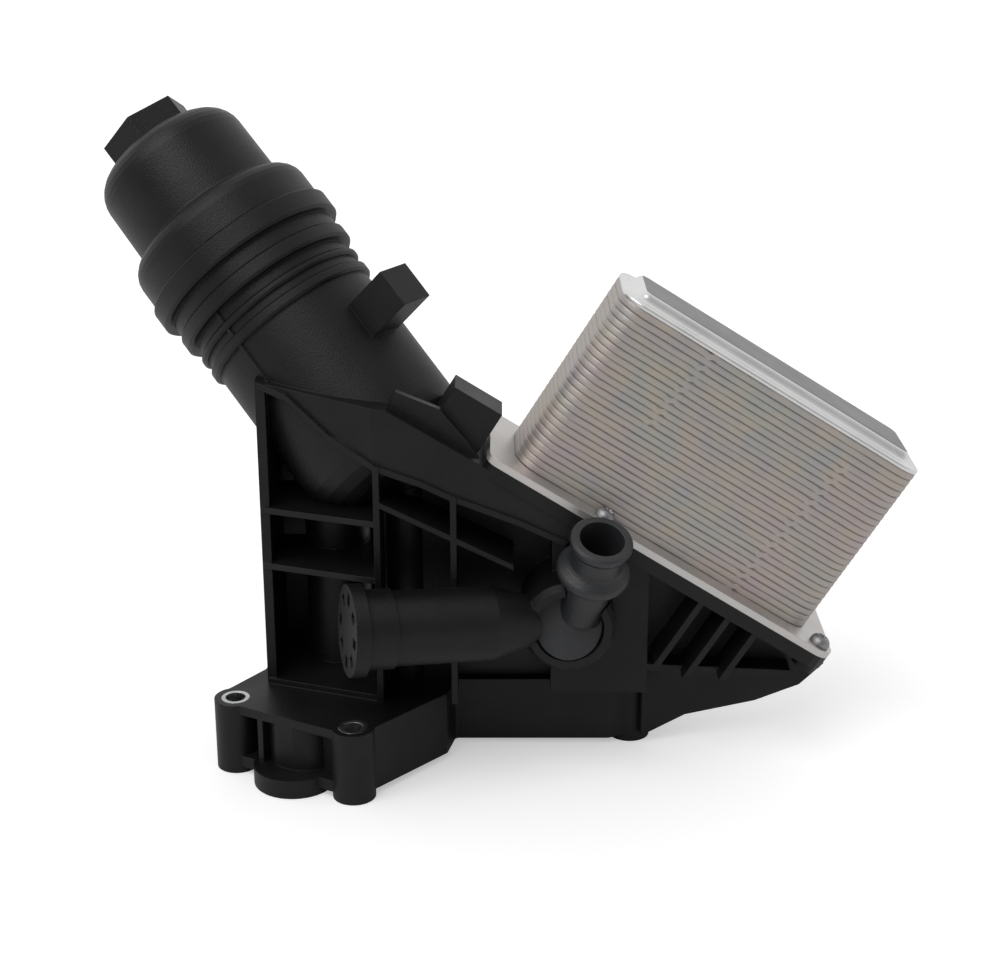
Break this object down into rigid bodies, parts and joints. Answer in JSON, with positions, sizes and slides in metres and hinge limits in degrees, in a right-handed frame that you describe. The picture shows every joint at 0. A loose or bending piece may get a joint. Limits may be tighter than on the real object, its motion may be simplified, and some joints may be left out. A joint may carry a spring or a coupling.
{
  "type": "oil filter housing",
  "caption": "Moulded oil filter housing with a slanted bowl and screw cap, ribbed column and flange, cross pipe with hose nipple, and a stacked-plate oil cooler.",
  "frame": {"origin": "midway between the two front bolt holes, on the engine face of the flange", "axes": "+Z along the bolts, away from the engine face; +X along the length of the cooler; +Y from the front bolt pair towards the back of the flange"},
  "size_m": [0.3442, 0.169, 0.2707],
  "materials": {
    "black_plastic": "moulded glass-filled nylon, matte with a faint grain",
    "cap_plastic": "moulded nylon, matte",
    "dark_plastic": "moulded nylon, matte",
    "steel": "turned, bright",
    "spring_steel": "drawn wire",
    "rubber": "moulded, matte",
    "filter_paper": "resin-treated pleated paper",
    "aluminium": "brazed, satin"
  },
  "bodies": {
    "housing": {"housing": "black_plastic", "flange_bushings": "steel", "flange_seals": "rubber", "standpipe": "dark_plastic", "bypass_spring": "spring_steel", "bypass_cage": "dark_plastic", "check_spring": "spring_steel", "check_retainer": "dark_plastic", "pipe_plug": "black_plastic", "plug_oring": "rubber", "coolant_nipple": "dark_plastic", "nipple_oring": "rubber", "cooler_base_plate": "aluminium", "cooler_core": "aluminium", "cooler_top_cover": "aluminium", "cooler_screws": "steel", "cooler_seals": "rubber"},
    "element": {"filter_media": "filter_paper", "element_top_cap": "dark_plastic", "element_bottom_cap": "dark_plastic", "element_core": "dark_plastic"},
    "cap": {"filter_cap": "cap_plastic", "cap_oring": "rubber"},
    "bypass_valve": {"bypass_plunger": "steel"},
    "check_valve": {"check_plunger": "steel"}
  },
  "joints": [
    {"name": "cap_travel", "type": "slide", "parent": "housing", "child": "element", "axis": [-0.5997, 0.3747, 0.7071], "range_m": [0, 0.012]},
    {"name": "cap_turn", "type": "hinge", "parent": "element", "child": "cap", "pos_m": [0.0318, 0.052, 0.13826], "axis": [-0.5997, 0.3747, 0.7071], "range_deg": [0, 1080]},
    {"name": "bypass_open", "type": "slide", "parent": "housing", "child": "bypass_valve", "axis": [-0.5997, 0.3747, 0.7071], "range_m": [0, 0.004], "stiffness_N_per_m": 150, "springref_m": -0.004, "deforming": ["bypass_spring"]},
    {"name": "check_open", "type": "slide", "parent": "housing", "child": "check_valve", "axis": [0, 0, 1], "range_m": [0, 0.005], "stiffness_N_per_m": 60, "springref_m": -0.004, "deforming": ["check_spring"]}
  ],
  "couplings": [
    {"joint": "cap_travel", "follows": "cap_turn", "m_per_rad": 0.0006366}
  ]
}
